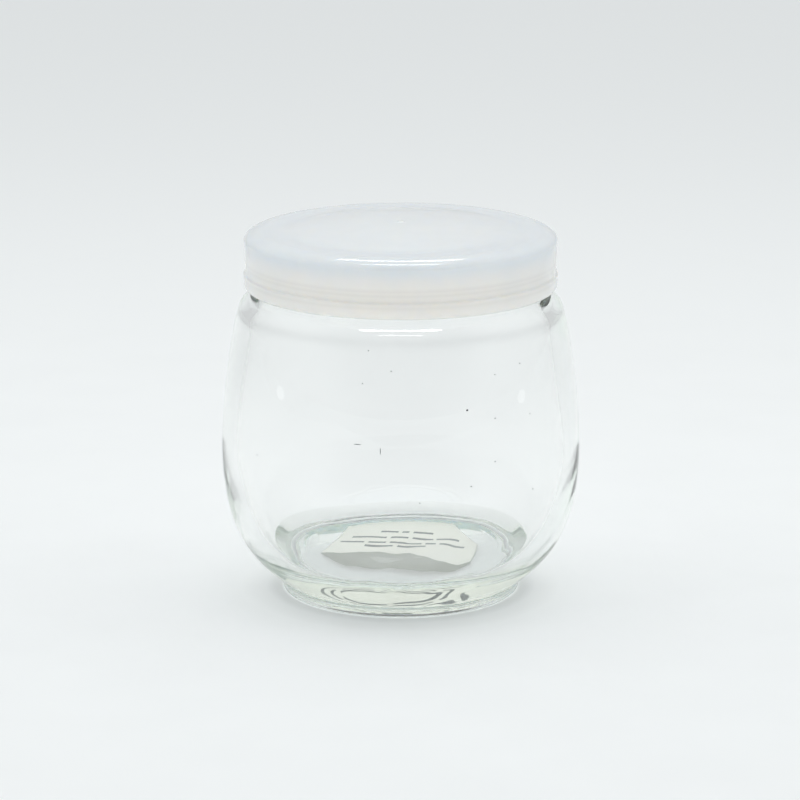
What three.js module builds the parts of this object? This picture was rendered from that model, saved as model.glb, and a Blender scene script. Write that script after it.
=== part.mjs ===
// A squat, round-bellied glass jar with a press-on plastic lid and a paper sticker under its base.
// Millimetres, +Z up. The jar stands on z = 0 and its axis is the Z axis. -Y is its front.

import * as THREE from 'three';

// Round pieces: flats around the axis, and steps along each curve of an outline
const FLATS = 48;
const JAR_STEPS = 5;
const LID_STEPS = 4;

// Jar body: the widest ring, and the wall's thickness there
const BELLY_RADIUS = 37.6;
const BELLY_HEIGHT = 31;
const WALL = 3.3;

// Jar foot: a low ring under the heel, with a rounded lower edge and a narrow bearing face
const FOOT_RADIUS = 25;
const FOOT_HEIGHT = 2.1;
const FOOT_EDGE = 0.7;

// Jar underside: a shallow dome inside the bearing face
const PUNT_RADIUS = 23.2;
const PUNT_DEPTH = 1.6;
const PUNT_EDGE_HEIGHT = 0.5;
const PUNT_LIP = 0.3;

// Heel and shoulder: how far each curve leans out of its ends
const HEEL_LEAN_RADIUS = 34.15;
const HEEL_LEAN_HEIGHT = 8.8;
const HEEL_PULL = 15.1;
const BELLY_PULL = 9.8;
const SHOULDER_RADIUS = 34;
const SHOULDER_HEIGHT = 60.2;
const SHOULDER_LEAN_RADIUS = 35.9;
const SHOULDER_LEAN_HEIGHT = 52.9;
const SHOULDER_TURN_RADIUS = 33.2;
const SHOULDER_TURN_HEIGHT = 63.2;

// Neck and rim: a straight neck, a bead that holds the lid, and a rounded rim around the mouth
const NECK_RADIUS = 29.6;
const NECK_HEIGHT = 66;
const NECK_TURN_HEIGHT = 63.6;
const BEAD_RADIUS = 30.8;
const BEAD_BOTTOM = 69.2;
const BEAD_SLOPE = 1;
const BEAD_TOP = 72.4;
const RIM_HEIGHT = 75;
const MOUTH_RADIUS = 26.6;

// Inside of the jar: a dished floor with a tight corner to the wall, and a soft shoulder below the neck
const DISH_HEIGHT = 7.4;
const DISH_PULL = 13.3;
const FLOOR_HEIGHT = 9.7;
const FLOOR_RADIUS = 27.6;
const FLOOR_PULL = 14;
const CORNER_RADIUS = 28.2;
const CORNER_HEIGHT = 15.8;
const INNER_SHOULDER_RADIUS = 31;
const INNER_SHOULDER_HEIGHT = 57.1;
const INNER_LEAN_RADIUS = 32.15;
const INNER_LEAN_HEIGHT = 51.5;
const INNER_TURN_RADIUS = 30;
const INNER_TURN_HEIGHT = 62.1;
const INNER_NECK_TURN = 61.7;
const INNER_NECK_HEIGHT = 66;

// Lid: a skirt with a hem below it, and an oval rounded edge around a slightly domed top
const LID_TOP_HEIGHT = 76.65;
const LID_CROWN_HEIGHT = 78.25;
const LID_PANEL_RADIUS = 24.2;
const LID_TOP_THICKNESS = 1.15;
const LID_INSIDE_RADIUS = 31.2;
const SKIRT_RADIUS = 32.6;
const SKIRT_DRAFT = 0.3;
const SKIRT_CORNER = 1.8;
const EDGE_REACH = 4.2;
const EDGE_DROP = 2.1;
const HEM_RADIUS = 32.7;
const HEM_BOTTOM = 64.5;
const HEM_TOP = 67.9;
const HEM_STEP = 0.35;
const HEM_ROUND = 1.8;
const HEM_LIP = 0.3;
const CATCH_HEIGHT = 67.4;
const CATCH_REACH = 1.7;
const CATCH_HALF_HEIGHT = 1;
const GATE_RADIUS = 0.6;
const GATE_HEIGHT = 0.2;

// Sticker: a thin sheet that follows the dome under the jar, turned a little about the axis
const STICKER_LEFT = -16.6;
const STICKER_RIGHT = 17.4;
const STICKER_THICKNESS = 0.15;
const STICKER_GAP = 0.15;
const STICKER_TURN_DEG = -13.5;
const STICKER_CELLS_WIDE = 16;
const STICKER_CELLS_DEEP = 10;

// Sticker edges: the far one is round with its right corner cut off, the front one is uneven
const STICKER_FAR_RADIUS = 21.2;
const STICKER_CUT_DEPTH = 3.6;
const STICKER_CUT_SLOPE = 1.78;
const STICKER_FRONT = [
  // distance across and distance in depth, both from the axis
  [-16.6, -7.9], [-12.6, -6.6], [-8.8, -3.5], [-4.3, -2.5], [0.4, -2.7], [2.8, -2.6],
  [5.9, -5.6], [9.7, -6.9], [12.9, -8.9], [15, -9], [17.4, -7],
];

// Closed outline of the glass: out along the underside, up the outside, over the rim, down the inside
function jarOutline() {
  const bearingRadius = FOOT_RADIUS - FOOT_EDGE;
  const innerBelly = BELLY_RADIUS - WALL;
  const rimMiddle = (BEAD_RADIUS + MOUTH_RADIUS) / 2;
  const path = new THREE.Path();

  path.moveTo(0, PUNT_DEPTH);
  path.quadraticCurveTo(PUNT_RADIUS / 2, PUNT_DEPTH, PUNT_RADIUS, PUNT_EDGE_HEIGHT);
  path.lineTo(PUNT_RADIUS + PUNT_LIP, 0);
  path.lineTo(bearingRadius, 0);
  path.quadraticCurveTo(FOOT_RADIUS, 0, FOOT_RADIUS, FOOT_EDGE);
  path.lineTo(FOOT_RADIUS, FOOT_HEIGHT);
  path.bezierCurveTo(
    HEEL_LEAN_RADIUS, HEEL_LEAN_HEIGHT,
    BELLY_RADIUS, BELLY_HEIGHT - HEEL_PULL,
    BELLY_RADIUS, BELLY_HEIGHT,
  );
  path.bezierCurveTo(
    BELLY_RADIUS, BELLY_HEIGHT + BELLY_PULL,
    SHOULDER_LEAN_RADIUS, SHOULDER_LEAN_HEIGHT,
    SHOULDER_RADIUS, SHOULDER_HEIGHT,
  );
  path.bezierCurveTo(
    SHOULDER_TURN_RADIUS, SHOULDER_TURN_HEIGHT,
    NECK_RADIUS, NECK_TURN_HEIGHT,
    NECK_RADIUS, NECK_HEIGHT,
  );
  path.lineTo(NECK_RADIUS, BEAD_BOTTOM - BEAD_SLOPE);
  path.lineTo(BEAD_RADIUS, BEAD_BOTTOM);
  path.lineTo(BEAD_RADIUS, BEAD_TOP);
  path.quadraticCurveTo(BEAD_RADIUS, RIM_HEIGHT, rimMiddle, RIM_HEIGHT);
  path.quadraticCurveTo(MOUTH_RADIUS, RIM_HEIGHT, MOUTH_RADIUS, BEAD_TOP);
  path.lineTo(MOUTH_RADIUS, INNER_NECK_HEIGHT);
  path.bezierCurveTo(
    MOUTH_RADIUS, INNER_NECK_TURN,
    INNER_TURN_RADIUS, INNER_TURN_HEIGHT,
    INNER_SHOULDER_RADIUS, INNER_SHOULDER_HEIGHT,
  );
  path.bezierCurveTo(
    INNER_LEAN_RADIUS, INNER_LEAN_HEIGHT,
    innerBelly, BELLY_HEIGHT + BELLY_PULL,
    innerBelly, BELLY_HEIGHT,
  );
  path.bezierCurveTo(
    innerBelly, CORNER_HEIGHT,
    CORNER_RADIUS, FLOOR_HEIGHT,
    FLOOR_RADIUS, FLOOR_HEIGHT,
  );
  path.bezierCurveTo(
    FLOOR_RADIUS - FLOOR_PULL, FLOOR_HEIGHT,
    DISH_PULL, DISH_HEIGHT,
    0, DISH_HEIGHT,
  );
  return path.getPoints(JAR_STEPS);
}

// Closed outline of the lid: out along the underside, down inside the skirt, up the outside, over the top
function lidOutline() {
  const inside = LID_INSIDE_RADIUS;
  const underTop = LID_TOP_HEIGHT - LID_TOP_THICKNESS;
  const underCrown = LID_CROWN_HEIGHT - LID_TOP_THICKNESS;
  const skirtFoot = SKIRT_RADIUS - SKIRT_DRAFT;
  const edgeRadius = SKIRT_RADIUS - EDGE_REACH;
  const edgeHeight = LID_TOP_HEIGHT - EDGE_DROP;
  const path = new THREE.Path();

  path.moveTo(0, underCrown);
  path.quadraticCurveTo(LID_PANEL_RADIUS / 2, underCrown, LID_PANEL_RADIUS, underTop);
  path.lineTo(inside - SKIRT_CORNER, underTop);
  path.quadraticCurveTo(inside, underTop, inside, underTop - SKIRT_CORNER);
  path.lineTo(inside, CATCH_HEIGHT + CATCH_HALF_HEIGHT);
  path.quadraticCurveTo(inside - CATCH_REACH, CATCH_HEIGHT, inside, CATCH_HEIGHT - CATCH_HALF_HEIGHT);
  path.lineTo(inside, HEM_BOTTOM + HEM_LIP);
  path.lineTo(inside + HEM_LIP, HEM_BOTTOM);
  path.quadraticCurveTo(HEM_RADIUS, HEM_BOTTOM, HEM_RADIUS, HEM_BOTTOM + HEM_ROUND);
  path.lineTo(HEM_RADIUS, HEM_TOP - HEM_STEP);
  path.lineTo(skirtFoot, HEM_TOP);
  path.lineTo(SKIRT_RADIUS, edgeHeight);
  path.absellipse(edgeRadius, edgeHeight, EDGE_REACH, EDGE_DROP, 0, Math.PI / 2, false);
  path.lineTo(LID_PANEL_RADIUS, LID_TOP_HEIGHT);
  path.quadraticCurveTo(LID_PANEL_RADIUS / 2, LID_CROWN_HEIGHT, GATE_RADIUS, LID_CROWN_HEIGHT);
  path.lineTo(GATE_RADIUS / 2, LID_CROWN_HEIGHT + GATE_HEIGHT);
  path.lineTo(0, LID_CROWN_HEIGHT + GATE_HEIGHT);
  return path.getPoints(LID_STEPS);
}

// A solid of revolution about Z, from an outline of radius and height
function turned(name, outline, material) {
  const geometry = new THREE.LatheGeometry(outline, FLATS);
  geometry.rotateX(Math.PI / 2);
  const mesh = new THREE.Mesh(geometry, material);
  mesh.name = name;
  return mesh;
}

// Height of the domed underside at a distance from the axis: a parabola from centre to edge
function puntHeight(radius) {
  const share = radius / PUNT_RADIUS;
  return PUNT_DEPTH - (PUNT_DEPTH - PUNT_EDGE_HEIGHT) * share * share;
}

// Front edge of the sticker at a distance across: straight stretches between the listed points
function stickerFront(across) {
  const next = Math.max(1, STICKER_FRONT.findIndex((point) => point[0] >= across - 1e-6));
  const [fromAcross, fromDepth] = STICKER_FRONT[next - 1];
  const [toAcross, toDepth] = STICKER_FRONT[next];
  return THREE.MathUtils.mapLinear(across, fromAcross, toAcross, fromDepth, toDepth);
}

// Far edge of the sticker at a distance across: an arc about the axis, cut off by a slanting line
function stickerFar(across) {
  const arc = Math.sqrt(STICKER_FAR_RADIUS ** 2 - across ** 2);
  const cut = STICKER_CUT_DEPTH + STICKER_CUT_SLOPE * (STICKER_RIGHT - across);
  return Math.min(arc, cut);
}

// The sticker: a thin box fitted between its front and far edge, with every point lifted to just below the dome
function sticker(name, material) {
  const width = STICKER_RIGHT - STICKER_LEFT;
  const geometry = new THREE.BoxGeometry(
    width, 1, STICKER_THICKNESS,
    STICKER_CELLS_WIDE, STICKER_CELLS_DEEP, 1,
  );
  geometry.translate(STICKER_LEFT + width / 2, 0.5, -STICKER_GAP - STICKER_THICKNESS / 2);
  const points = geometry.attributes.position;
  for (let index = 0; index < points.count; index += 1) {
    const across = points.getX(index);
    const depth = THREE.MathUtils.lerp(stickerFront(across), stickerFar(across), points.getY(index));
    points.setY(index, depth);
    points.setZ(index, points.getZ(index) + puntHeight(Math.hypot(across, depth)));
  }
  geometry.rotateZ(THREE.MathUtils.degToRad(STICKER_TURN_DEG));
  geometry.computeVertexNormals();
  const mesh = new THREE.Mesh(geometry, material);
  mesh.name = name;
  return mesh;
}

const clearGlass = new THREE.MeshStandardMaterial({
  color: 0xdfe8e4, roughness: 0.05, metalness: 0, transparent: true, opacity: 0.35,
});
const milkyPlastic = new THREE.MeshStandardMaterial({ color: 0xdfe6ec, roughness: 0.35, metalness: 0 });
const whitePaper = new THREE.MeshStandardMaterial({ color: 0xe6e5e1, roughness: 0.85, metalness: 0 });

const jarWithLid = new THREE.Group();
jarWithLid.add(turned('jar', jarOutline(), clearGlass));
jarWithLid.add(turned('lid', lidOutline(), milkyPlastic));
jarWithLid.add(sticker('sticker', whitePaper));

export default jarWithLid;
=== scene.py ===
# %% [markdown]
# # A glass jar with a press-on lid
# The jar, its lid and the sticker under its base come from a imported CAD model, as plain faceted solids.
# This lesson puts a smooth, finished piece in the place of each one, and lights them as in a studio.
# The model's frame is in metres: the jar stands on z = 0, and its front faces -Y. Sizes of the pieces are
# written in millimetres and changed to metres when a mesh is made.

# %% Load the frame
import math

import bpy
import numpy as np
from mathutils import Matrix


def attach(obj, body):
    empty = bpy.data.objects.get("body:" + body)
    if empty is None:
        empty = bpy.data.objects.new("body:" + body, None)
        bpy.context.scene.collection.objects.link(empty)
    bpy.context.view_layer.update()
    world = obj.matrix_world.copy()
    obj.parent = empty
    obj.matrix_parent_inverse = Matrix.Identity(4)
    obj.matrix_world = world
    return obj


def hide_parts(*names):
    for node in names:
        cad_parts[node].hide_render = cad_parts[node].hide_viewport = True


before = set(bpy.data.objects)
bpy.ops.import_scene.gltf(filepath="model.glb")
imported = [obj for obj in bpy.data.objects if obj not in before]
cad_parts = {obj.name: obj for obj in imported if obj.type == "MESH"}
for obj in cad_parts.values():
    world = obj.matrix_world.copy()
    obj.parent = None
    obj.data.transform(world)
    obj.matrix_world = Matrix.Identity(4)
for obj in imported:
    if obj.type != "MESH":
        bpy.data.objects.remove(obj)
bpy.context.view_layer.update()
MM = 0.001

# %% [markdown]
# ## Colours and shader nodes
# Colours are written as sRGB hex, as a colour picker shows them, but shaders add up light, which is linear.
# One function does that change for every material. A second one adds a node, sets it and links it,
# so that a material reads as a short list of its layers.

# %% Helpers for colour and nodes
def linear(hex_colour):
    """Linear RGBA of an sRGB hex colour: c / 12.92 for dark channels, else ((c + 0.055) / 1.055) ^ 2.4."""
    parts = np.array([int(hex_colour[k:k + 2], 16) for k in (1, 3, 5)]) / 255.0
    curve = np.where(parts <= 0.04045, parts / 12.92, ((parts + 0.055) / 1.055) ** 2.4)
    return (*curve.tolist(), 1.0)


def add_node(tree, kind, settings=None, inputs=None):
    """Adds a node, sets its properties, and fills each input with a value or links it to a socket."""
    node = tree.nodes.new(kind)
    for name, value in (settings or {}).items():
        setattr(node, name, value)
    for key, value in (inputs or {}).items():
        if isinstance(value, bpy.types.NodeSocket):
            tree.links.new(value, node.inputs[key])
        else:
            node.inputs[key].default_value = value
    return node


def new_material(name):
    """An empty node material with its output, ready for layers."""
    material = bpy.data.materials.new(name)
    material.use_nodes = True
    material.node_tree.nodes.clear()
    output = add_node(material.node_tree, "ShaderNodeOutputMaterial")
    return material, material.node_tree, output


print("helpers ready, mid grey is", round(linear("#808080")[0], 3), "in linear light")

# %% [markdown]
# ## Camera
# The picture was taken from a little above, with the lens far enough away that the jar hardly narrows
# downwards. Distance, tilt and the height it aims at were found from the ellipses of the lid and the base.

# %% Camera
PICTURE_PIXELS = 800
SENSOR_WIDTH = 36.0
CAMERA_DISTANCE = 750.0
CAMERA_TILT = math.radians(14.1)
AIM_HEIGHT = 40.1
AIM_SIDE = -0.17
MM_PER_PIXEL = 0.2101

camera_data = bpy.data.cameras.new("camera")
camera_data.sensor_width = SENSOR_WIDTH
camera_data.lens = SENSOR_WIDTH * CAMERA_DISTANCE / (MM_PER_PIXEL * PICTURE_PIXELS)
camera = bpy.data.objects.new("camera", camera_data)
camera.location = (
    AIM_SIDE * MM,
    -CAMERA_DISTANCE * math.cos(CAMERA_TILT) * MM,
    (AIM_HEIGHT + CAMERA_DISTANCE * math.sin(CAMERA_TILT)) * MM,
)
camera.rotation_euler = (math.pi / 2 - CAMERA_TILT, 0.0, 0.0)
bpy.context.scene.collection.objects.link(camera)
bpy.context.scene.camera = camera
print("lens", round(camera_data.lens, 1), "mm, camera at", [round(v, 4) for v in camera.location])

# %% [markdown]
# ## Curves and turned surfaces
# Jar and lid are round, so each is one outline carried around the axis. An outline is a chain of Bezier
# curves: two points give a straight stretch, three a rounded corner, four a long sweep. A quarter ellipse
# is there for the lid's edge. The turned surface is a grid, ring by ring, closed by a point at each end.

# %% Bezier outlines and the turned grid
FLATS = 192


def bezier(*points, steps=12):
    """Points of a Bezier curve: the sum of C(n, k) (1 - t)^(n - k) t^k times control point k."""
    t = np.linspace(0.0, 1.0, steps + 1)[:, None]
    n = len(points) - 1
    weights = [math.comb(n, k) * (1 - t) ** (n - k) * t ** k for k in range(n + 1)]
    return sum(weight * np.array(point, float) for weight, point in zip(weights, points))


def chain(*stretches):
    """Stretches end to end as one array of radius and height, with each shared end kept once."""
    return np.concatenate([stretches[0]] + [stretch[1:] for stretch in stretches[1:]])


def quarter_round(start, end, steps=12):
    """Quarter ellipse that leaves start upright and reaches end level: cosine in radius, sine in height."""
    t = np.linspace(0.0, np.pi / 2, steps + 1)
    radius = end[0] + (start[0] - end[0]) * np.cos(t)
    height = start[1] + (end[1] - start[1]) * np.sin(t)
    return np.stack([radius, height], axis=-1)


def put_mesh(name, points, quads, triangles):
    """A smooth mesh object from arrays of points, four-sided faces and three-sided faces."""
    mesh = bpy.data.meshes.new(name)
    corners = np.concatenate([quads.ravel(), triangles.ravel()]).astype(np.int32)
    starts = np.concatenate([4 * np.arange(len(quads)), 4 * len(quads) + 3 * np.arange(len(triangles))])
    mesh.vertices.add(len(points))
    mesh.vertices.foreach_set("co", (points * MM).astype(np.float32).ravel())
    mesh.loops.add(len(corners))
    mesh.loops.foreach_set("vertex_index", corners)
    mesh.polygons.add(len(starts))
    mesh.polygons.foreach_set("loop_start", starts.astype(np.int32))
    mesh.update(calc_edges=True)
    mesh.validate()
    mesh.shade_smooth()
    piece = bpy.data.objects.new(name, mesh)
    bpy.context.scene.collection.objects.link(piece)
    return piece


def turned_faces(rings, flats):
    """Faces of a closed turned grid: quads between the rings, and a fan to the pole at each end."""
    k, i = np.meshgrid(np.arange(rings - 1), np.arange(flats), indexing="ij")
    here = k * flats + i
    beside = k * flats + (i + 1) % flats
    quads = np.stack([here, beside, beside + flats, here + flats], axis=-1)
    spoke = np.arange(flats)
    after = (spoke + 1) % flats
    last_ring = (rings - 1) * flats
    first_pole = np.full(flats, rings * flats)
    first_fan = np.stack([first_pole, after, spoke], axis=-1)
    last_fan = np.stack([first_pole + 1, last_ring + spoke, last_ring + after], axis=-1)
    return quads.reshape(-1, 4), np.concatenate([first_fan, last_fan])


def turned_piece(name, radius, height):
    """Surface of revolution: point (k, i) is (r cos a, r sin a, z) at ring k and angle a = 2 pi i / flats.

    radius and height are grids of rings by flats, in mm. The first and last ring lie on the axis.
    """
    angle = np.linspace(0.0, 2 * np.pi, FLATS, endpoint=False)
    grid = np.stack([radius * np.cos(angle), radius * np.sin(angle), height], axis=-1)[1:-1]
    poles = [[0.0, 0.0, height[0].mean()], [0.0, 0.0, height[-1].mean()]]
    points = np.concatenate([grid.reshape(-1, 3), poles])
    return put_mesh(name, points, *turned_faces(len(grid), FLATS))


print("each round piece has", FLATS, "flats")

# %% [markdown]
# ## The outline of the glass
# A pressed and blown jar has a heavy base: the underside is domed so that it stands on a narrow ring,
# and the floor inside sweeps up into a wall of about 3 mm. The same dimensions as in the CAD model are used,
# with a small radius at every corner: a real mould has no sharp edge, and glass shows each one as a line.
# A curve starts at its first point and ends at its last. The points between only pull it towards them.

# %% Jar outline
BELLY_RADIUS, BELLY_HEIGHT, WALL = 37.6, 31.0, 3.3
FOOT_RADIUS, FOOT_EDGE, FOOT_TOP = 25.0, 0.7, 1.6
PUNT_RADIUS, PUNT_DEPTH, PUNT_EDGE_HEIGHT = 23.2, 1.6, 0.5
FLOOR_HEIGHT, FLOOR_RADIUS, DISH_HEIGHT = 9.7, 27.6, 7.4
STAND, HEEL = (23.7, 0.0), (25.48, 2.45)
SHOULDER, INNER_SHOULDER = (34.0, 60.2), (31.0, 57.1)
NECK_RADIUS, BEAD_RADIUS, MOUTH_RADIUS = 29.6, 30.8, 26.6
NECK_HEIGHT, BEAD_BOTTOM, BEAD_TOP, RIM_HEIGHT = 66.0, 70.0, 72.4, 75.0
COARSE_END, FINE_START = 20.9, 21.0


def punt_height(radius):
    """Underside of the base: a parabola that falls from the centre to the edge."""
    return PUNT_DEPTH - (PUNT_DEPTH - PUNT_EDGE_HEIGHT) * (radius / PUNT_RADIUS) ** 2


underside_radius = np.concatenate([
    np.linspace(0.0, COARSE_END, 40),
    np.linspace(FINE_START, PUNT_RADIUS, 23),
])
inner_belly = BELLY_RADIUS - WALL
rim_middle = (BEAD_RADIUS + MOUTH_RADIUS) / 2

# Points that pull the curves of the outside, as radius and height in mm
pull_stand, pull_foot = (23.35, 0.0), (FOOT_RADIUS, 2.1)
pull_heel, pull_belly_low = (34.15, 8.8), (BELLY_RADIUS, 15.9)
pull_belly_high, pull_shoulder_low = (BELLY_RADIUS, 40.8), (35.9, 52.9)
pull_shoulder_high, pull_neck = (33.2, 63.2), (NECK_RADIUS, 63.6)
pull_bead_low, pull_bead_high = (NECK_RADIUS, 68.2), (BEAD_RADIUS, 68.2)

# Points that pull the curves of the inside
pull_mouth, pull_inner_high = (MOUTH_RADIUS, 61.7), (30.0, 62.1)
pull_inner_low, pull_wall_high = (32.15, 51.5), (inner_belly, 40.8)
pull_wall_low, pull_floor = (inner_belly, 15.8), (28.2, FLOOR_HEIGHT)
pull_ledge, pull_dish = (13.6, FLOOR_HEIGHT), (13.3, DISH_HEIGHT)

jar_outside = chain(
    np.stack([underside_radius, punt_height(underside_radius)], axis=-1),
    bezier((PUNT_RADIUS, PUNT_EDGE_HEIGHT), pull_stand, STAND, steps=6),
    bezier(STAND, (FOOT_RADIUS - FOOT_EDGE, 0.0), steps=2),
    bezier((FOOT_RADIUS - FOOT_EDGE, 0.0), (FOOT_RADIUS, 0.0), (FOOT_RADIUS, FOOT_EDGE), steps=8),
    bezier((FOOT_RADIUS, FOOT_EDGE), (FOOT_RADIUS, FOOT_TOP), steps=3),
    bezier((FOOT_RADIUS, FOOT_TOP), pull_foot, HEEL, steps=6),
    bezier(HEEL, pull_heel, pull_belly_low, (BELLY_RADIUS, BELLY_HEIGHT), steps=44),
    bezier((BELLY_RADIUS, BELLY_HEIGHT), pull_belly_high, pull_shoulder_low, SHOULDER, steps=36),
    bezier(SHOULDER, pull_shoulder_high, pull_neck, (NECK_RADIUS, NECK_HEIGHT), steps=30),
    bezier((NECK_RADIUS, NECK_HEIGHT), pull_bead_low, pull_bead_high, (BEAD_RADIUS, BEAD_BOTTOM), steps=12),
    bezier((BEAD_RADIUS, BEAD_BOTTOM), (BEAD_RADIUS, BEAD_TOP), steps=3),
    bezier((BEAD_RADIUS, BEAD_TOP), (BEAD_RADIUS, RIM_HEIGHT), (rim_middle, RIM_HEIGHT), steps=12),
)
jar_inside = chain(
    bezier((rim_middle, RIM_HEIGHT), (MOUTH_RADIUS, RIM_HEIGHT), (MOUTH_RADIUS, BEAD_TOP), steps=12),
    bezier((MOUTH_RADIUS, BEAD_TOP), (MOUTH_RADIUS, NECK_HEIGHT), steps=6),
    bezier((MOUTH_RADIUS, NECK_HEIGHT), pull_mouth, pull_inner_high, INNER_SHOULDER, steps=24),
    bezier(INNER_SHOULDER, pull_inner_low, pull_wall_high, (inner_belly, BELLY_HEIGHT), steps=36),
    bezier((inner_belly, BELLY_HEIGHT), pull_wall_low, pull_floor, (FLOOR_RADIUS, FLOOR_HEIGHT), steps=60),
    bezier((FLOOR_RADIUS, FLOOR_HEIGHT), pull_ledge, pull_dish, (0.0, DISH_HEIGHT), steps=40),
)
jar_outline = chain(jar_outside, jar_inside)
print("jar outline:", len(jar_outline), "points,", len(jar_outside), "of them outside")

# %% [markdown]
# ## Uneven glass
# The mould only shapes the outside. The inside is blown, so the wall and the floor are slightly wavy, and
# that is what bends the lines seen through a cheap jar. A few cosine waves around and along the outline push
# each inner point along its normal. They fade out at the rim and at the axis, and finer ones come in where
# the floor meets the wall. The mould's base plate leaves a thin ring in the underside, fainter in places.

# %% Jar surface
WAVES = (
    # waves around, waves per mm along, size in mm, phase in radians
    (2, 0.006, 0.10, 0.4),
    (3, 0.011, 0.07, 2.1),
    (5, 0.019, 0.04, 4.0),
    (9, 0.030, 0.018, 1.2),
)
HEEL_WAVES = (
    (7, 0.05, 0.034, 0.9),
    (13, 0.09, 0.021, 3.3),
    (22, 0.16, 0.011, 5.1),
    (37, 0.21, 0.005, 2.2),
)
RING_RADIUS, RING_HALF_WIDTH, RING_RISE = 21.8, 0.6, 0.028
RING_WAVES = ((3, 0.0, 0.35, 1.0), (7, 0.0, 0.30, 4.0), (16, 0.0, 0.25, 2.5))
RIM_CALM, RIM_WAVY, AXIS_WAVY = 4.0, 16.0, 8.0
HEEL_INNER, HEEL_OUTER, HEEL_LOW, HEEL_HIGH = 12.0, 22.0, 12.0, 24.0


def ripple(waves, angle, along):
    """Sum of size times cos(n angle + 2 pi f along + phase) over the waves."""
    return sum(s * np.cos(n * angle + 2 * np.pi * f * along + p) for n, f, s, p in waves)


def smoothstep(low, high, value):
    """0 below low, 1 above high, and 3 x^2 - 2 x^3 between."""
    x = np.clip((value - low) / (high - low), 0.0, 1.0)
    return x * x * (3 - 2 * x)


step_lengths = np.hypot(*np.diff(jar_outline, axis=0).T)
along = np.concatenate([[0.0], np.cumsum(step_lengths)])
rim_place = along[len(jar_outside) - 1]
tangent = np.gradient(jar_outline, along, axis=0)
normal = np.stack([tangent[:, 1], -tangent[:, 0]], axis=-1)
normal /= np.linalg.norm(normal, axis=1, keepdims=True)
inside_share = smoothstep(rim_place + RIM_CALM, rim_place + RIM_WAVY, along)
axis_share = smoothstep(0.0, AXIS_WAVY, jar_outline[:, 0])
angles = np.linspace(0.0, 2 * np.pi, FLATS, endpoint=False)[None, :]
low_share = 1 - smoothstep(HEEL_LOW, HEEL_HIGH, jar_outline[:, 1])
heel_share = inside_share * smoothstep(HEEL_INNER, HEEL_OUTER, jar_outline[:, 0]) * low_share
push = (inside_share * axis_share)[:, None] * ripple(WAVES, angles, along[:, None])
push = push + heel_share[:, None] * ripple(HEEL_WAVES, angles, along[:, None])

ring_offset = np.clip((jar_outline[:, 0] - RING_RADIUS) / RING_HALF_WIDTH, -1.0, 1.0)
underneath = along < along[len(underside_radius) - 1]
ring_share = np.where(underneath, 0.5 * (1 + np.cos(np.pi * ring_offset)), 0.0)
push = push - RING_RISE * ring_share[:, None] * (1 + ripple(RING_WAVES, angles, along[:, None]))
jar = turned_piece(
    "jar_glass",
    jar_outline[:, :1] + normal[:, :1] * push,
    jar_outline[:, 1:] + normal[:, 1:] * push,
)
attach(jar, "root")
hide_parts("jar")
print("jar:", len(jar.data.polygons), "faces, inner waves up to", round(float(abs(push).max()), 3), "mm")

# %% [markdown]
# ## Soda-lime glass
# Clear container glass has a refractive index of 1.52, and a little iron in it shows as green wherever a ray
# travels far through it, as in the heavy base. That is not a surface colour, so it goes into the volume as
# absorption, while the surface stays colourless. Faint smears from handling vary the gloss.

# %% Glass material
GLASS_IOR = 1.52
GREEN, GREEN_DENSITY = "#9BDE95", 2.3
SMEAR_SIZE, SMEAR_ROUGHNESS = 14.0, 0.03
SMEAR_START, SMEAR_FULL = 0.45, 0.75

glass, tree, output = new_material("soda_lime_glass_blown")
place = add_node(tree, "ShaderNodeTexCoord")
smears = add_node(
    tree, "ShaderNodeTexNoise", None,
    {"Vector": place.outputs["Object"], "Scale": 1 / (SMEAR_SIZE * MM), "Detail": 3.0, "Roughness": 0.6},
)
gloss = add_node(
    tree, "ShaderNodeMapRange", None,
    {
        "Value": smears.outputs["Fac"],
        "From Min": SMEAR_START,
        "From Max": SMEAR_FULL,
        "To Min": 0.0,
        "To Max": SMEAR_ROUGHNESS,
    },
)
surface = add_node(
    tree, "ShaderNodeBsdfPrincipled", None,
    {
        "Base Color": linear("#FFFFFF"),
        "Roughness": gloss.outputs["Result"],
        "IOR": GLASS_IOR,
        "Transmission Weight": 1.0,
    },
)
tint = add_node(
    tree, "ShaderNodeVolumeAbsorption", None,
    {"Color": linear(GREEN), "Density": GREEN_DENSITY},
)
tree.links.new(surface.outputs["BSDF"], output.inputs["Surface"])
tree.links.new(tint.outputs["Volume"], output.inputs["Volume"])
jar.data.materials.append(glass)
print("glass:", glass.name)

# %% [markdown]
# ## Grains in the glass
# Recycled glass carries a few dark grains that did not melt, and short threads drawn out of them. Each one
# is a tiny ellipsoid just under the outer skin. All of them are one piece: the same unit sphere is
# stretched, turned to face outwards and put in its place for every row of the table at once.

# %% Grains
GRAIN_BELOW_SKIN, GRAIN_HALF_DEPTH = 0.6, 0.1
WALL_START = 2.5
GRAIN_RINGS, GRAIN_FLATS = 5, 8
GRAINS = np.array((
    # angle around the jar in degrees, height, half length along the level, half length upright, in mm
    (-68.4, 46.4, 0.22, 0.20),
    (-102.6, 52.1, 0.12, 0.12),
    (-93.2, 54.7, 0.11, 0.14),
    (-101.0, 58.6, 0.12, 0.10),
    (-46.6, 54.1, 0.13, 0.12),
    (-57.5, 52.8, 0.10, 0.12),
    (-58.6, 44.1, 0.14, 0.12),
    (-44.2, 43.6, 0.12, 0.14),
    (-59.2, 35.3, 0.13, 0.13),
    (-142.0, 34.3, 0.12, 0.12),
    (-43.7, 27.9, 0.13, 0.15),
    (-67.6, 30.8, 0.15, 0.12),
    (-84.1, 28.0, 0.12, 0.10),
    (-103.7, 39.9, 0.75, 0.07),
    (-96.4, 38.7, 0.07, 0.75),
))
polar = np.pi * np.arange(1, GRAIN_RINGS + 1)[:, None] / (GRAIN_RINGS + 1)
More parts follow.
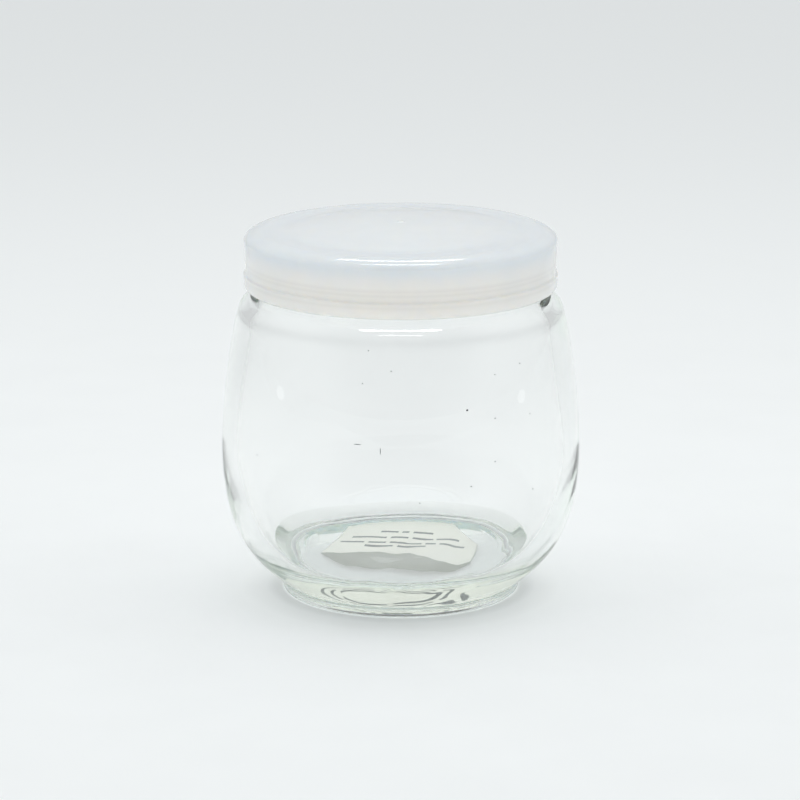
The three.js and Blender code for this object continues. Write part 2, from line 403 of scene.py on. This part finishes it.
turn = 2 * np.pi * np.arange(GRAIN_FLATS)[None, :] / GRAIN_FLATS
ball_height = -np.cos(polar) + 0 * turn
ball = np.stack([np.sin(polar) * np.cos(turn), np.sin(polar) * np.sin(turn), ball_height], axis=-1)
ball = np.concatenate([ball.reshape(-1, 3), [[0.0, 0.0, -1.0], [0.0, 0.0, 1.0]]])
outer_wall = jar_outside[jar_outside[:, 1] > WALL_START]
grain_angle = np.radians(GRAINS[:, :1])
grain_radius = np.interp(GRAINS[:, 1:2], outer_wall[:, 1], outer_wall[:, 0]) - GRAIN_BELOW_SKIN
out_by = grain_radius + GRAIN_HALF_DEPTH * ball[:, 0]
side_by = GRAINS[:, 2:3] * ball[:, 1]
grain_points = np.stack([
    out_by * np.cos(grain_angle) - side_by * np.sin(grain_angle),
    out_by * np.sin(grain_angle) + side_by * np.cos(grain_angle),
    GRAINS[:, 1:2] + GRAINS[:, 3:4] * ball[:, 2],
], axis=-1)
grain_start = len(ball) * np.arange(len(GRAINS))[:, None, None]
grain_quads, grain_fans = turned_faces(GRAIN_RINGS, GRAIN_FLATS)
grains = put_mesh(
    "jar_grains",
    grain_points.reshape(-1, 3),
    (grain_quads + grain_start).reshape(-1, 4),
    (grain_fans + grain_start).reshape(-1, 3),
)
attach(grains, "root")
print("grains:", len(GRAINS), "in one piece of", len(grains.data.polygons), "faces")

# %% [markdown]
# ## Unmelted stone
# The grains are bits of stone or furnace lining, dull and nearly black. A fine noise makes each uneven.

# %% Grain material
GRIT_SIZE = 0.2
STONE_DARK, STONE_PALE = "#2E333A", "#5C6067"

stone, tree, output = new_material("unmelted_stone_grain")
place = add_node(tree, "ShaderNodeTexCoord")
grit = add_node(
    tree, "ShaderNodeTexNoise", None,
    {"Vector": place.outputs["Object"], "Scale": 1 / (GRIT_SIZE * MM), "Detail": 2.0},
)
tone = add_node(
    tree, "ShaderNodeMix", {"data_type": "RGBA"},
    {"Factor": grit.outputs["Fac"], 6: linear(STONE_DARK), 7: linear(STONE_PALE)},
)
surface = add_node(
    tree, "ShaderNodeBsdfPrincipled", None,
    {"Base Color": tone.outputs[2], "Roughness": 0.7, "IOR": 1.5},
)
tree.links.new(surface.outputs["BSDF"], output.inputs["Surface"])
grains.data.materials.append(stone)
print("stone:", stone.name)

# %% [markdown]
# ## The lid
# The lid is one injection moulding: a slightly domed top with a rounded edge, a skirt with a catch that
# grips the bead on the rim, and a thicker hem below. A tiny stub in the middle is where the plastic entered
# the mould. It is turned like the jar, from its underside round the hem and over the top.

# %% Lid outline and surface
LID_TOP, LID_CROWN, PANEL_RADIUS = 76.65, 78.25, 24.2
SKIRT_RADIUS, SKIRT_DRAFT, LID_INSIDE = 32.6, 0.3, 31.2
EDGE_REACH, EDGE_DROP, TOP_THICKNESS = 4.2, 2.1, 1.15
HEM_RADIUS, HEM_BOTTOM, HEM_TOP, HEM_ROUND = 32.7, 64.5, 67.9, 1.8
HEM_INNER_HEIGHT, HEM_INNER_REACH, HEM_SHOULDER, SKIRT_FILLET = 64.9, 0.3, 0.35, 0.3
CATCH_HEIGHT, CATCH_HALF_HEIGHT, CATCH_REACH, INNER_ROUND = 67.4, 1.0, 1.7, 1.8
PANEL_ROUND, PANEL_RISE = 1.2, 0.16
GATE_RADIUS, GATE_HEIGHT, GATE_FILLET, GATE_DRAFT = 0.6, 0.2, 0.3, 0.1
GATE_SIDE_HEIGHT, GATE_TOP_RADIUS = 0.15, 0.4

skirt_foot = SKIRT_RADIUS - SKIRT_DRAFT
under_top = LID_TOP - TOP_THICKNESS
under_crown = LID_CROWN - TOP_THICKNESS
inside_start = (LID_INSIDE - INNER_ROUND, under_top)
inside_end = (LID_INSIDE, under_top - INNER_ROUND)
catch_above = (LID_INSIDE, CATCH_HEIGHT + CATCH_HALF_HEIGHT)
catch_below = (LID_INSIDE, CATCH_HEIGHT - CATCH_HALF_HEIGHT)
hem_inside = (LID_INSIDE, HEM_INNER_HEIGHT)
hem_under = (LID_INSIDE + HEM_INNER_REACH, HEM_BOTTOM)
hem_low = (HEM_RADIUS, HEM_BOTTOM + HEM_ROUND)
hem_high = (HEM_RADIUS, HEM_TOP - HEM_SHOULDER)
skirt_start = (skirt_foot, HEM_TOP + SKIRT_FILLET)
skirt_end = (SKIRT_RADIUS, LID_TOP - EDGE_DROP)
edge_end = (SKIRT_RADIUS - EDGE_REACH, LID_TOP)
panel_start = (PANEL_RADIUS + PANEL_ROUND, LID_TOP)
panel_end = (PANEL_RADIUS - PANEL_ROUND, LID_TOP + PANEL_RISE)
gate_start = (GATE_RADIUS + GATE_FILLET, LID_CROWN)
gate_side = (GATE_RADIUS - GATE_DRAFT, LID_CROWN + GATE_SIDE_HEIGHT)
gate_top = LID_CROWN + GATE_HEIGHT
lid_outline = chain(
    bezier((0.0, under_crown), (PANEL_RADIUS / 2, under_crown), (PANEL_RADIUS, under_top), steps=24),
    bezier((PANEL_RADIUS, under_top), inside_start, steps=6),
    bezier(inside_start, (LID_INSIDE, under_top), inside_end, steps=10),
    bezier(inside_end, catch_above, steps=6),
    bezier(catch_above, (LID_INSIDE - CATCH_REACH, CATCH_HEIGHT), catch_below, steps=12),
    bezier(catch_below, hem_inside, steps=3),
    bezier(hem_inside, (LID_INSIDE, HEM_BOTTOM), hem_under, steps=5),
    bezier(hem_under, (HEM_RADIUS, HEM_BOTTOM), hem_low, steps=12),
    bezier(hem_low, hem_high, steps=4),
    bezier(hem_high, (HEM_RADIUS, HEM_TOP), (skirt_foot, HEM_TOP), skirt_start, steps=10),
    bezier(skirt_start, skirt_end, steps=10),
    quarter_round(skirt_end, edge_end, steps=28),
    bezier(edge_end, panel_start, steps=8),
    bezier(panel_start, (PANEL_RADIUS, LID_TOP), panel_end, steps=6),
    bezier(panel_end, (PANEL_RADIUS / 2, LID_CROWN), gate_start, steps=24),
    bezier(gate_start, (GATE_RADIUS, LID_CROWN), gate_side, steps=4),
    bezier(gate_side, (GATE_TOP_RADIUS, gate_top), (0.0, gate_top), steps=5),
)
lid_flat = np.ones((1, FLATS))
lid = turned_piece("lid_plastic", lid_outline[:, :1] * lid_flat, lid_outline[:, 1:] * lid_flat)
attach(lid, "root")
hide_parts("lid")
print("lid:", len(lid.data.polygons), "faces")

# %% [markdown]
# ## Low-density polyethylene
# This soft plastic is milky: light goes in, scatters by a millimetre or two and comes out again, so edges
# look pale and what is behind shows as a blur. The faint lines where the bead and the neck stand behind the
# skirt are painted shade, as bands of darker colour by height, and the top is painted bluer for the light
# from overhead. The skin is glossier than the inside, which a thin coat gives.

# %% Lid material
# The darker bands on the skirt are painted shade of the bead and neck behind it; the bluer top is painted
# overhead light.
PAINTED_LIGHT_BANDS = (
    # height in mm, colour
    (64.0, "#F5F5F3"),
    (66.4, "#F6F6F4"),
    (67.0, "#F1F1EF"),
    (67.6, "#F6F6F4"),
    (68.9, "#F5F5F3"),
    (69.4, "#EFEFED"),
    (69.9, "#F4F4F2"),
    (70.3, "#EFEFEE"),
    (71.0, "#F5F6F5"),
    (72.4, "#F2F4F6"),
    (74.2, "#EAF0F6"),
    (76.5, "#EBF1F7"),
    (77.0, "#F1F6FC"),
    (78.5, "#F2F7FD"),
)
BAND_LOW, BAND_HIGH = PAINTED_LIGHT_BANDS[0][0], PAINTED_LIGHT_BANDS[-1][0]
FLOW_SIZE, PORE_SIZE, PORE_DEPTH, PORE_STRENGTH = 9.0, 0.8, 0.02, 0.02
SCATTER_LENGTH, SCATTER_BY_CHANNEL = 1.5, (1.0, 1.1, 1.25)
FLOW_TINT = "#F4F6F8"

plastic, tree, output = new_material("ldpe_injection_moulded")
place = add_node(tree, "ShaderNodeTexCoord")
flow = add_node(
    tree, "ShaderNodeTexNoise", None,
    {"Vector": place.outputs["Object"], "Scale": 1 / (FLOW_SIZE * MM), "Detail": 4.0, "Roughness": 0.55},
)
part = add_node(tree, "ShaderNodeSeparateXYZ", None, {"Vector": place.outputs["Object"]})
level = add_node(
    tree, "ShaderNodeMapRange", None,
    {"Value": part.outputs["Z"], "From Min": BAND_LOW * MM, "From Max": BAND_HIGH * MM},
)
painted_light_ramp = add_node(tree, "ShaderNodeValToRGB", None, {"Fac": level.outputs["Result"]})
stops = painted_light_ramp.color_ramp.elements
stops[0].color = linear(PAINTED_LIGHT_BANDS[0][1])
stops[1].position, stops[1].color = 1.0, linear(PAINTED_LIGHT_BANDS[-1][1])
for height, colour in PAINTED_LIGHT_BANDS[1:-1]:
    stop = stops.new((height - BAND_LOW) / (BAND_HIGH - BAND_LOW))
    stop.color = linear(colour)
# Painted shade and light of the bands, times the flow marks in the plastic
painted_bands_and_flow = add_node(
    tree, "ShaderNodeMix", {"data_type": "RGBA", "blend_type": "MULTIPLY"},
    {"Factor": flow.outputs["Fac"], 6: painted_light_ramp.outputs["Color"], 7: linear(FLOW_TINT)},
)
pores = add_node(
    tree, "ShaderNodeTexNoise", None,
    {"Vector": place.outputs["Object"], "Scale": 1 / (PORE_SIZE * MM), "Detail": 2.0},
)
relief = add_node(
    tree, "ShaderNodeBump", None,
    {"Height": pores.outputs["Fac"], "Strength": PORE_STRENGTH, "Distance": PORE_DEPTH * MM},
)
surface = add_node(
    tree, "ShaderNodeBsdfPrincipled", {"subsurface_method": "RANDOM_WALK"},
    {
        "Base Color": painted_bands_and_flow.outputs[2],
        "Roughness": 0.35,
        "IOR": 1.51,
        "Specular IOR Level": 0.0,
        "Subsurface Weight": 1.0,
        "Subsurface Radius": SCATTER_BY_CHANNEL,
        "Subsurface Scale": SCATTER_LENGTH * MM,
        "Transmission Weight": 0.15,
        "Coat Weight": 1.0,
        "Coat Roughness": 0.03,
        "Coat IOR": 1.5,
        "Normal": relief.outputs["Normal"],
    },
)
tree.links.new(surface.outputs["BSDF"], output.inputs["Surface"])
lid.data.materials.append(plastic)
print("lid plastic:", plastic.name)

# %% [markdown]
# ## The sticker
# A paper sticker is stuck up inside the hollow of the base, a little askew. Its far edge follows the hollow,
# with one corner cut away. Along the front the paper has been torn off, so its edge is uneven, and in front
# of that edge lies a grey matt strip. Paper and strip are the same kind of sheet: a grid from a near edge to
# a far edge, with a second layer one thickness below and a strip of faces around the rim. Each sheet's top
# lies a few hundredths of a millimetre inside the glass, so that light passes into it without an air gap.

# %% Sticker surfaces
STICKER_LEFT, STICKER_RIGHT = -16.6, 17.4
STICKER_TURN = math.radians(-13.5)
PAPER_LIFT, PAPER_THICKNESS = 0.05, 0.12
GREY_STRIP_LIFT, GREY_STRIP_THICKNESS, GREY_STRIP_OVERLAP = 0.03, 0.06, 0.5
FAR_RADIUS, CUT_DEPTH, CUT_SLOPE = 21.2, 3.6, 1.78
TORN_EDGE = np.array((
    # distance across and distance in depth, both from the axis in mm
    (-16.6, -7.9), (-12.6, -6.6), (-8.8, -3.5), (-4.3, -2.5), (0.4, -2.7), (2.8, -2.6),
    (5.9, -5.6), (9.7, -6.9), (12.9, -8.9), (15.0, -9.0), (17.4, -7.0),
))
# Near edge of the grey strip: distance across and distance in depth, both from the axis in mm
GREY_STRIP_EDGE = np.array((
    (-16.6, -8.3), (-15.0, -9.6), (-12.6, -12.0), (-8.5, -14.6), (-5.2, -14.9), (-0.9, -15.1),
    (3.3, -14.4), (7.4, -13.8), (11.6, -13.4), (14.6, -12.6), (16.6, -10.0), (17.4, -7.5),
))
PRINT_NEAR, PRINT_FAR, PRINT_BOW = -9.5, 21.5, 0.0155
CELLS_WIDE, CELLS_DEEP = 80, 60


def paper_edges(across):
    """Near edge: the torn line. Far edge: an arc about the axis, cut by a slanting line."""
    arc = np.sqrt(FAR_RADIUS ** 2 - across ** 2)
    cut = CUT_DEPTH + CUT_SLOPE * (STICKER_RIGHT - across)
    return np.interp(across, *TORN_EDGE.T), np.minimum(arc, cut)


def grey_strip_edges(across):
    """Near edge: a line nearer the front. Far edge: a little way above the torn paper."""
    return np.interp(across, *GREY_STRIP_EDGE.T), np.interp(across, *TORN_EDGE.T) + GREY_STRIP_OVERLAP


def sheet_layer(edges, lift):
    """Grid (u, v): v runs from the near to the far edge at each place u across, then the grid is turned.

    Each point is lifted to the dome plus the lift. The second result is the print's map, which has
    slightly bowed rows.
    """
    across, v = np.meshgrid(
        np.linspace(STICKER_LEFT, STICKER_RIGHT, CELLS_WIDE + 1),
        np.linspace(0.0, 1.0, CELLS_DEEP + 1),
        indexing="ij",
    )
    near, far = edges(across)
    deep = near + v * (far - near)
    x = across * math.cos(STICKER_TURN) - deep * math.sin(STICKER_TURN)
    y = across * math.sin(STICKER_TURN) + deep * math.cos(STICKER_TURN)
    z = punt_height(np.hypot(x, y)) + lift
    print_across = (across - STICKER_LEFT) / (STICKER_RIGHT - STICKER_LEFT)
    print_deep = (deep + PRINT_BOW * across ** 2 - PRINT_NEAR) / (PRINT_FAR - PRINT_NEAR)
    points = np.stack([x, y, z], axis=-1).reshape(-1, 3)
    print_map = np.stack([print_across, print_deep], axis=-1).reshape(-1, 2)
    return points, print_map


def put_sheet(name, edges, lift, thickness):
    """Closed thin sheet: a top layer, a bottom layer with its faces turned over, and a rim between."""
    top, print_map = sheet_layer(edges, lift)
    bottom, _ = sheet_layer(edges, lift - thickness)
    index = np.arange(len(top)).reshape(CELLS_WIDE + 1, CELLS_DEEP + 1)
    cells = np.stack([index[:-1, :-1], index[1:, :-1], index[1:, 1:], index[:-1, 1:]], axis=-1)
    cells = cells.reshape(-1, 4)
    edge = np.concatenate([index[:-1, 0], index[-1, :-1], index[:0:-1, -1], index[0, :0:-1]])
    after = np.roll(edge, -1)
    rim = np.stack([edge, edge + len(top), after + len(top), after], axis=-1)
    points = np.concatenate([top, bottom])
    quads = np.concatenate([cells, cells[:, ::-1] + len(top), rim])
    piece = put_mesh(name, points, quads, np.zeros((0, 3), int))
    corner_points = np.zeros(len(piece.data.loops), np.int32)
    piece.data.loops.foreach_get("vertex_index", corner_points)
    corner_map = np.concatenate([print_map, print_map])[corner_points]
    layer = piece.data.uv_layers.new(name="print")
    layer.data.foreach_set("uv", corner_map.astype(np.float32).ravel())
    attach(piece, "root")
    return piece


sticker = put_sheet("sticker_paper", paper_edges, PAPER_LIFT, PAPER_THICKNESS)
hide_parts("sticker")
grey_strip = put_sheet("sticker_grey_strip", grey_strip_edges, GREY_STRIP_LIFT, GREY_STRIP_THICKNESS)
print("sticker:", len(sticker.data.polygons), "faces of paper and", len(grey_strip.data.polygons), "of glue")

# %% [markdown]
# ## Label paper
# White uncoated paper with rows of plain grey bars for its print. Each bar is where a strip across the
# sheet's own UV map meets a stretch along it, and the bars are joined by taking the larger of two masks.

# %% Sticker material
BAR_HALF = 0.018
ROWS = (
    # middle of the row as a share of the depth, and the start and end of its bars as shares of the width
    (0.732, ((0.26, 0.38), (0.41, 0.46), (0.49, 0.63))),
    (0.597, ((0.09, 0.33), (0.36, 0.48), (0.51, 0.66), (0.69, 0.86))),
    (0.471, ((0.04, 0.20), (0.23, 0.35), (0.38, 0.60), (0.63, 0.71), (0.74, 0.92))),
    (0.394, ((0.22, 0.42), (0.45, 0.65))),
)
FIBRE_SIZE = 0.6
PAPER_DULL, PAPER_BRIGHT, INK = "#FBF6F2", "#FFFCF8", "#8E8E91"

paper, tree, output = new_material("label_paper_uncoated")
place = add_node(tree, "ShaderNodeTexCoord")
fibres = add_node(
    tree, "ShaderNodeTexNoise", None,
    {"Vector": place.outputs["Object"], "Scale": 1 / (FIBRE_SIZE * MM), "Detail": 5.0, "Roughness": 0.7},
)
sheet = add_node(
    tree, "ShaderNodeMix", {"data_type": "RGBA"},
    {"Factor": fibres.outputs["Fac"], 6: linear(PAPER_DULL), 7: linear(PAPER_BRIGHT)},
)
spot = add_node(tree, "ShaderNodeSeparateXYZ", None, {"Vector": place.outputs["UV"]})
ink = None
for middle, bars in ROWS:
    row = add_node(
        tree, "ShaderNodeMath", {"operation": "COMPARE"},
        {0: spot.outputs["Y"], 1: middle, 2: BAR_HALF},
    )
    for start, end in bars:
        bar = add_node(
            tree, "ShaderNodeMath", {"operation": "COMPARE"},
            {0: spot.outputs["X"], 1: (start + end) / 2, 2: (end - start) / 2},
        )
        mark = add_node(
            tree, "ShaderNodeMath", {"operation": "MULTIPLY"},
            {0: row.outputs[0], 1: bar.outputs[0]},
        )
        if ink is not None:
            mark = add_node(
                tree, "ShaderNodeMath", {"operation": "MAXIMUM"},
                {0: ink.outputs[0], 1: mark.outputs[0]},
            )
        ink = mark
printed = add_node(
    tree, "ShaderNodeMix", {"data_type": "RGBA"},
    {"Factor": ink.outputs[0], 6: sheet.outputs[2], 7: linear(INK)},
)
surface = add_node(
    tree, "ShaderNodeBsdfPrincipled", None,
    {"Base Color": printed.outputs[2], "Roughness": 0.85, "IOR": 1.5},
)
tree.links.new(surface.outputs["BSDF"], output.inputs["Surface"])
sticker.data.materials.append(paper)
print("paper:", paper.name)

# %% [markdown]
# ## The grey strip
# A sheet in front of the torn edge of the paper. It is matt and grey, and patchy over a few millimetres.

# %% Grey strip material
PATCH_SIZE = 3.0
GREY_STRIP_DARK, GREY_STRIP_PALE = "#A9A9A4", "#BDBDB8"

grey_strip_look, tree, output = new_material("matt_grey_strip")
place = add_node(tree, "ShaderNodeTexCoord")
patches = add_node(
    tree, "ShaderNodeTexNoise", None,
    {"Vector": place.outputs["Object"], "Scale": 1 / (PATCH_SIZE * MM), "Detail": 4.0, "Roughness": 0.6},
)
grey_strip_tone = add_node(
    tree, "ShaderNodeMix", {"data_type": "RGBA"},
    {"Factor": patches.outputs["Fac"], 6: linear(GREY_STRIP_DARK), 7: linear(GREY_STRIP_PALE)},
)
surface = add_node(
    tree, "ShaderNodeBsdfPrincipled", None,
    {"Base Color": grey_strip_tone.outputs[2], "Roughness": 0.7, "IOR": 1.48},
)
tree.links.new(surface.outputs["BSDF"], output.inputs["Surface"])
grey_strip.data.materials.append(grey_strip_look)
print("glue:", grey_strip_look.name)

# %% [markdown]
# ## The floor
# Clear glass is shown by what it bends, so what stands around it matters. The floor is a wide white board.
# A faint ring of shade is painted on it around the front of the foot, where a real jar keeps light away
# from the board, and a painted change of light makes the colour differ a little towards the far end.

# %% Floor
FLOOR_SIZE = 6.0
BOARD_DULL, BOARD_BRIGHT, BOARD_FAR_PAINTED_LIGHT = "#EFF1F1", "#F3F5F5", "#F2F4F4"
SPECKLE_SIZE = 25.0
FAR_START, FAR_END = 120.0, 350.0
FRONT_START, FRONT_FULL = 15.0, -5.0
SHADE_INSIDE, SHADE_OUTSIDE = 22.0, 34.0
FOOT_SHADE = (
    # distance from the jar's axis in mm, brightness of the painted shade there
    (24.8, 1.00),
    (25.4, 0.77),
    (26.6, 0.78),
    (28.6, 0.90),
)

ground, tree, output = new_material("matt_white_board")
place = add_node(tree, "ShaderNodeTexCoord")
speckle = add_node(
    tree, "ShaderNodeTexNoise", None,
    {"Vector": place.outputs["Object"], "Scale": 1 / (SPECKLE_SIZE * MM), "Detail": 2.0},
)
board = add_node(
    tree, "ShaderNodeMix", {"data_type": "RGBA"},
    {"Factor": speckle.outputs["Fac"], 6: linear(BOARD_DULL), 7: linear(BOARD_BRIGHT)},
)
split = add_node(tree, "ShaderNodeSeparateXYZ", None, {"Vector": place.outputs["Object"]})
# Painted change of light towards the far end of the board
far = add_node(
    tree, "ShaderNodeMapRange", {"interpolation_type": "SMOOTHSTEP"},
    {"Value": split.outputs["Y"], "From Min": FAR_START * MM, "From Max": FAR_END * MM},
)
far_painted_light_board = add_node(
    tree, "ShaderNodeMix", {"data_type": "RGBA"},
    {"Factor": far.outputs["Result"], 6: board.outputs[2], 7: linear(BOARD_FAR_PAINTED_LIGHT)},
)
around = add_node(
    tree, "ShaderNodeVectorMath", {"operation": "LENGTH"},
    {0: place.outputs["Object"]},
)
distance = add_node(
    tree, "ShaderNodeMapRange", None,
    {"Value": around.outputs["Value"], "From Min": SHADE_INSIDE * MM, "From Max": SHADE_OUTSIDE * MM},
)
shade = add_node(tree, "ShaderNodeValToRGB", None, {"Fac": distance.outputs["Result"]})
stops = shade.color_ramp.elements
stops[0].color = stops[1].color = linear("#FFFFFF")
for radius, tone in FOOT_SHADE:
    stop = stops.new((radius - SHADE_INSIDE) / (SHADE_OUTSIDE - SHADE_INSIDE))
    stop.color = (tone, tone, tone, 1.0)
towards_front = add_node(
    tree, "ShaderNodeMapRange", {"interpolation_type": "SMOOTHSTEP"},
    {"Value": split.outputs["Y"], "From Min": FRONT_START * MM, "From Max": FRONT_FULL * MM},
)
grounded = add_node(
    tree, "ShaderNodeMix", {"data_type": "RGBA", "blend_type": "MULTIPLY"},
    {"Factor": towards_front.outputs["Result"], 6: far_painted_light_board.outputs[2], 7: shade.outputs["Color"]},
)
surface = add_node(
    tree, "ShaderNodeBsdfPrincipled", None,
    {"Base Color": grounded.outputs[2], "Roughness": 0.6, "Specular IOR Level": 0.3},
)
tree.links.new(surface.outputs["BSDF"], output.inputs["Surface"])
half = FLOOR_SIZE / 2 / MM
floor = put_mesh(
    "floor",
    np.array([[-half, -half, 0.0], [half, -half, 0.0], [half, half, 0.0], [-half, half, 0.0]]),
    np.array([[0, 1, 2, 3]]),
    np.zeros((0, 3), int),
)
floor.data.materials.append(ground)
print("floor:", FLOOR_SIZE, "m wide")

# %% [markdown]
# ## Lamps
# Narrow strips overhead and two small glints at the sides are only seen as reflections, which draw the
# bright lines in the glass and on the lid. A large soft panel lights everything, and a low one in front
# warms the lid. The paper under the base gets little light through the glass, so a panel inside the jar
# helps it. Two suns with linked light even out the floor and the lid. Each lights only what it names.

# %% Lamps
STRIP_SIZE, STRIP_HEIGHT = (0.165, 0.045), 0.40
GLINT_SIZE, GLINT_SIDE = (0.02, 0.07), 0.60
WHITE, WARM = "#FFFFFF", "#FFF0DF"
PANELS = (
    # name, place in m, turn about X and Y in degrees, size in m,
    # radiance, colour, what it lights, what shades it, where empty brackets mean everything
    ("over_strip", (0.0, -0.074, STRIP_HEIGHT), (0, 0), (0.22, 0.045), 10.0, WHITE, (jar,), ()),
    ("fore_strip", (0.0, -0.217, STRIP_HEIGHT), (0, 0), (0.165, 0.03), 8.0, WHITE, (jar,), ()),
    ("front_strip", (0.0, 0.03, STRIP_HEIGHT), (0, 0), STRIP_SIZE, 10.0, WHITE, (jar, lid), ()),
    ("back_strip", (0.0, 0.26, STRIP_HEIGHT), (0, 0), STRIP_SIZE, 10.0, WHITE, (jar, lid), ()),
    ("left_glint", (-GLINT_SIDE, -0.08, 0.025), (0, -90), GLINT_SIZE, 0.9, WHITE, (jar,), ()),
    ("right_glint", (GLINT_SIDE, -0.08, 0.02), (0, 90), GLINT_SIZE, 0.9, WHITE, (jar,), ()),
    ("soft_panel", (0.0, 0.03, 0.45), (0, 0), (0.9, 0.5), 0.54, WHITE, (), ()),
    ("front_fill", (0.0, -0.60, 0.12), (90, 0), (0.8, 0.2), 3.0, WARM, (lid,), ()),
    ("inside_panel", (0.0, 0.0, 0.058), (0, 0), (0.04, 0.04), 2.2, WHITE, (sticker, grey_strip), (sticker,)),
)
ONLY_REFLECTED = ("over_strip", "fore_strip", "front_strip", "back_strip", "left_glint", "right_glint")
SUNS = (
    # name, turn about X in degrees, spread in degrees, power, what it lights, what shades it
    ("light_on_floor", -40, 10, 1.2, (sticker, floor), (sticker,)),
    ("light_on_lid", -10, 60, 0.60, (lid,), (lid,)),
)


def add_lamp(name, kind, turn, lights, shades, settings):
    """Adds a lamp turned about X and Y. Lists of pieces limit what it lights and what shades it."""
    data = bpy.data.lights.new(name, kind)
    for key, value in settings.items():
        setattr(data, key, value)
    lamp = bpy.data.objects.new(name, data)
    lamp.rotation_euler = (math.radians(turn[0]), math.radians(turn[1]), 0.0)
    lamp.visible_camera = False
    lamp.visible_transmission = False
    lamp.visible_diffuse = name not in ONLY_REFLECTED
    lamp.visible_glossy = name in ONLY_REFLECTED
    bpy.context.scene.collection.objects.link(lamp)
    for role, pieces in (("receiver_collection", lights), ("blocker_collection", shades)):
        if pieces:
            group = bpy.data.collections.new(name + "_" + role)
            setattr(lamp.light_linking, role, group)
            for piece in pieces:
                group.objects.link(piece)
    return lamp


for name, place, turn, (wide, deep), radiance, colour, lights, shades in PANELS:
    settings = {
        "shape": "ELLIPSE" if "glint" in name else "RECTANGLE",
        "size": wide,
        "size_y": deep,
        "energy": radiance * math.pi * wide * deep,
        "color": linear(colour)[:3],
    }
    add_lamp(name, "AREA", turn, lights, shades, settings).location = place

for name, turn, spread, power, lights, shades in SUNS:
    add_lamp(name, "SUN", (turn, 0), lights, shades, {"angle": math.radians(spread), "energy": power})
print("lamps:", len(PANELS), "panels and", len(SUNS), "suns")

# %% [markdown]
# ## Surroundings
# A white tent stands around the set, brighter overhead than at its walls. A darker patch above the viewer
# gives the edges of the glass their grey lines. Light crosses the glass many times before it leaves, so the
# counts of bounces are high.

# %% Surroundings
WALL_LIGHT, CEILING_LIGHT = 0.68, 0.84
# Z part of a direction where the walls end, and where the ceiling starts
WALL_TOP, CEILING_START = 0.3, 0.95
PATCH_TILT = math.radians(40)
# Cosine of the angle from the middle of the patch, at its rim and at its core
PATCH_RIM, PATCH_CORE = 0.40, 0.90
TENT_WHITE, TENT_DARK = "#F7FAFB", "#8A8E90"

patch_towards = (0.0, -math.cos(PATCH_TILT), math.sin(PATCH_TILT))
world = bpy.data.worlds.new("white_tent")
bpy.context.scene.world = world
world.use_nodes = True
tree = world.node_tree
tree.nodes.clear()
output = add_node(tree, "ShaderNodeOutputWorld")
look = add_node(tree, "ShaderNodeTexCoord")
towards = add_node(
    tree, "ShaderNodeVectorMath", {"operation": "DOT_PRODUCT"},
    {0: look.outputs["Generated"], 1: patch_towards},
)
patch = add_node(
    tree, "ShaderNodeMapRange", {"interpolation_type": "SMOOTHSTEP"},
    {"Value": towards.outputs["Value"], "From Min": PATCH_RIM, "From Max": PATCH_CORE},
)
part = add_node(tree, "ShaderNodeSeparateXYZ", None, {"Vector": look.outputs["Generated"]})
upward = add_node(
    tree, "ShaderNodeMapRange", {"interpolation_type": "SMOOTHSTEP"},
    {
        "Value": part.outputs["Z"],
        "From Min": WALL_TOP,
        "From Max": CEILING_START,
        "To Min": WALL_LIGHT,
        "To Max": CEILING_LIGHT,
    },
)
tent = add_node(
    tree, "ShaderNodeMix", {"data_type": "RGBA"},
    {"Factor": patch.outputs["Result"], 6: linear(TENT_WHITE), 7: linear(TENT_DARK)},
)
sky = add_node(
    tree, "ShaderNodeBackground", None,
    {"Color": tent.outputs[2], "Strength": upward.outputs["Result"]},
)
tree.links.new(sky.outputs["Background"], output.inputs["Surface"])

scene = bpy.context.scene
scene.view_settings.view_transform = "Standard"
scene.cycles.max_bounces = 40
scene.cycles.glossy_bounces = 28
scene.cycles.transmission_bounces = 34
scene.cycles.diffuse_bounces = 8
scene.cycles.blur_glossy = 0.0
print("surroundings:", WALL_LIGHT, "at the walls and", CEILING_LIGHT, "overhead")
